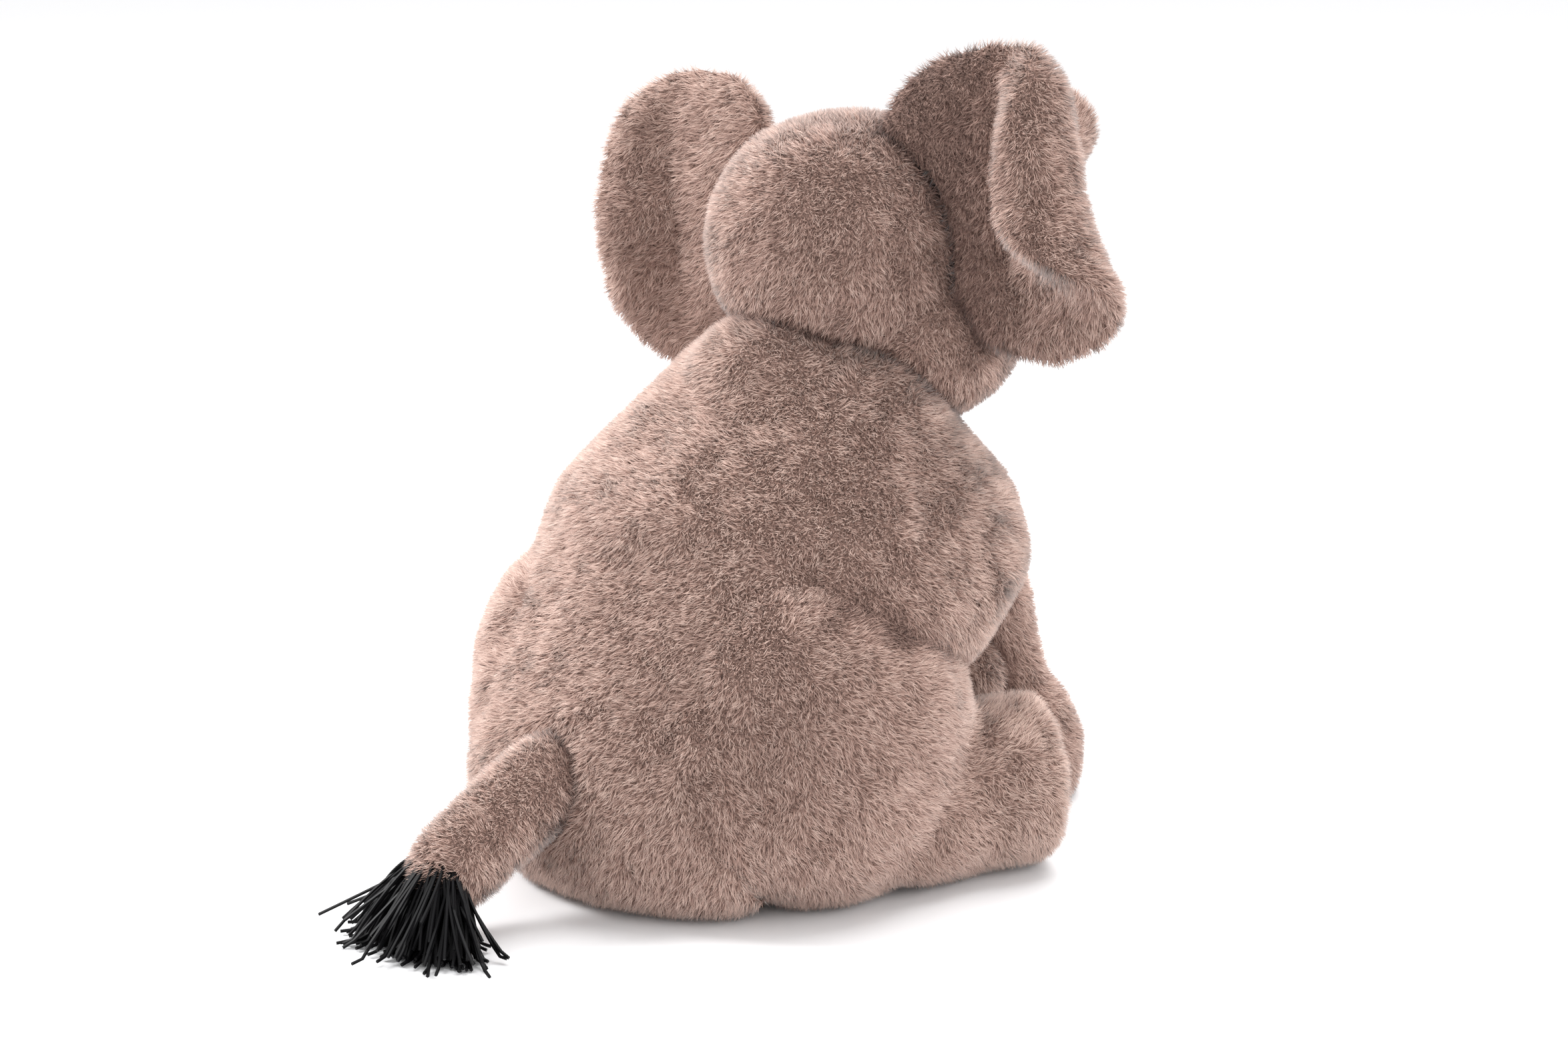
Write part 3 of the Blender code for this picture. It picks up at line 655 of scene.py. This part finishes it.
def ear_axes(side):
    """An ear's own frame (out, forward, up) in the room's."""
    mirror = Matrix.Diagonal((SIDES[side], -1, 1, 1))
    place = Matrix.Translation((SIDES[side] * EAR_OUT, 0, EAR_LIFT))
    swing = Matrix.Rotation(-SIDES[side] * math.radians(EAR_ROLL[side][0]), 4, "Z")
    return HEAD_FRAME @ np.array(place @ swing @ mirror)


def curled(side):
    """Rolls the ear's outer band backwards, tight above and slack below."""
    _, tight, slack, start, wide_top, wide, cut = EAR_ROLL[side]
    axes = ear_axes(side)
    back = np.linalg.inv(axes)

    def shape(co, normal):
        co = lumpy(co, normal)
        local = co @ back[:3, :3].T + back[:3, 3]
        out, thick, up = local.T
        share = smooth_step(up, *ROLL_HEIGHTS)
        out = EAR_MIDDLE + (out - EAR_MIDDLE) * (wide + (wide_top - wide) * smooth_step(up, *cut))
        radius = 1 / (share / tight + (1 - share) / slack)
        theta = np.maximum(out - start, 0) / radius
        edge = smooth_step(out, start - PLUMP_BEFORE, start + PLUMP_AFTER)
        t = (thick - EAR_CORE) * (1 + ROLL_PLUMP * share * edge)
        rolled_out = start + radius * np.sin(theta) + t * np.sin(theta)
        rolled_thick = EAR_CORE - radius * (1 - np.cos(theta)) + t * np.cos(theta)
        beyond = out > start
        out = np.where(beyond, rolled_out, out)
        thick = np.where(beyond, rolled_thick, thick)
        local = np.stack([out, thick, up * EAR_TALL], axis=1)
        return local @ axes[:3, :3].T + axes[:3, 3]
    return shape


def make_skins():
    """The skin of every body, by the body's name."""
    made = {}
    neck = ellipsoid((0, -0.022, 0.172), (0.034, 0.034, 0.025))
    shoulders = ellipsoid((0, -0.0225, 0.122), (0.0835, 0.0785, 0.036))
    belly = ellipsoid((0, -0.078, 0.058), (0.046, 0.034, 0.030))
    made["torso"] = stuffed("torso_skin", "torso",
                            ["back_panel_left", "back_panel_right", "belly_panel", "seat_panel",
                             "torso_stuffing", "pellet_pouch"],
                            0.0032, 0.0004, 55, [neck, shoulders, belly], settled)
    chin = ellipsoid((0.008, -0.104, 0.180), (0.024, 0.022, 0.022))
    cheeks = [ellipsoid((sign * 0.028, -0.070, 0.186), (0.029, 0.035, 0.031))
              for sign in SIDES.values()]
    made["head"] = stuffed("head_skin", "head",
                           ["head_gusset", "head_side_left", "head_side_right", "head_stuffing"],
                           0.0028, 0.0002, 40, [chin, *cheeks], crowned)
    made["trunk"] = stuffed("trunk_skin", "trunk",
                            ["trunk_upper", "trunk_under", "trunk_end", "trunk_stuffing"],
                            0.0022, 0.0010)
    for side, sign in SIDES.items():
        made["ear_" + side] = stuffed("ear_skin_" + side, "ear_" + side,
                                      both(["ear_front", "ear_back", "ear_stuffing"], side),
                                      0.0022, 0.0010, shape=curled(side))
        haunch = ellipsoid(*HAUNCH[side], math.radians(HAUNCH_TURN))
        thigh = ellipsoid((sign * 0.052, 0.018, 0.027), (0.036, 0.043, 0.027))
        rump = ellipsoid((sign * 0.0410, 0.0425, 0.0480), (0.0385, 0.0380, 0.0475))
        calf = ellipsoid((sign * 0.073, -0.026, 0.0265), (0.024, 0.040, 0.0260))
        made["hind_leg_" + side] = stuffed("hind_leg_skin_" + side, "hind_leg_" + side,
                                           both(["hind_leg_outer", "hind_leg_inner", "hind_sole",
                                                 "hind_leg_stuffing"], side),
                                           0.0026, 0.0006, 16, [haunch, calf, thigh, rump], lumpy)
        made["front_leg_" + side] = stuffed("front_leg_skin_" + side, "front_leg_" + side,
                                            both(["front_leg", "front_sole",
                                                  "front_leg_stuffing"], side), 0.0022, 0.0010)
    tail_tip = ellipsoid((0, 0.1300, 0.0265), (0.0132, 0.0180, 0.0132),
                         math.radians(TAIL_TIP_TURN))
    made["tail"] = stuffed("tail_cover", "tail", ["tail_skin", "tail_stuffing"],
                           0.0018, -0.0010, 10, [tail_tip])
    return made


def constant(x, y, z):
    return lambda p: np.tile(np.array((x, y, z), float), (len(p), 1))


def leg_tint(p):
    """Lighter towards the foot."""
    return 0.06 + 0.20 * smooth_step(-p[:, 1], 0.010, 0.050)


def ear_hollow_shade(p):
    """Painted shade: darker in the hollow beside the head."""
    back = np.linalg.inv(ear_axes("right"))
    out = (p @ back[:3, :3].T + back[:3, 3])[:, 0]
    return -0.02 - 0.40 * (1 - smooth_step(out, 0.012, 0.040))


def above_seat(p):
    """Leaves out the painted crease shade low down and far back."""
    return smooth_step(p[:, 2], 0.060, 0.080) * (1 - smooth_step(p[:, 1], 0.012, 0.040))


def everywhere(p):
    return np.ones(len(p))


FLOWS = {
    "torso": constant(0, 0.35, -1),
    "head": lambda p: np.tile(-HEAD_UP * 0.8 - HEAD_AHEAD * 0.6, (len(p), 1)),
    "trunk": constant(0, -0.7, 0.7),
    "ear_left": constant(0.5, 0, -0.9), "ear_right": constant(-0.5, 0, -0.9),
    "hind_leg_left": constant(0.2, -0.6, -0.8), "hind_leg_right": constant(-0.2, -0.6, -0.8),
    "front_leg_left": constant(0, -0.3, -1), "front_leg_right": constant(0, -0.3, -1),
    "tail": constant(0, 0.85, -0.5),
}
# the bodies that a pile makes way for; every other body's pile makes way for the torso
NEIGHBOURS = {"torso": ["head", "hind_leg_left", "hind_leg_right", "front_leg_left",
                        "front_leg_right", "tail"],
              "head": ["torso", "ear_left", "ear_right", "trunk"], "trunk": ["head", "torso"],
              "ear_left": ["head"], "ear_right": ["head"]}
# tone shifts by body: the right ear's is painted shade in the hollow beside the head; the others
# lighten the pile
TINTS_AND_SHADE = {"ear_right": ear_hollow_shade, "hind_leg_left": leg_tint, "hind_leg_right": leg_tint,
         "torso": 0.12, "tail": 0.10}
# where each body's pile gets the painted crease shade; every other body gets it everywhere
CREASE_SHADE_MASKS = {"torso": above_seat, "hind_leg_left": above_seat, "hind_leg_right": above_seat}


# ---------------------------------------------------------------- the elephant

make_camera()
make_studio()
backing = cloth_material("backing", BACKING_DARK, BACKING_LIGHT, BACKING_SCALE)
taupe = pile_material("taupe_pile", PILE_DARK, PILE_MIDDLE, PILE_LIGHT, PILE_ROOT)
skins = make_skins()
for skin in skins.values():
    skin.data.materials.append(backing)
for number, (body, skin) in enumerate(skins.items()):
    pile("pile_" + body, skin, body, taupe, FLOWS[body], LENGTHS[body], FIRST_SEED + number,
         [skins[other] for other in NEIGHBOURS.get(body, ["torso"])], TINTS_AND_SHADE.get(body, 0.0),
         CREASE_SHADE_MASKS.get(body, everywhere))

make_tuft()
make_eyes()
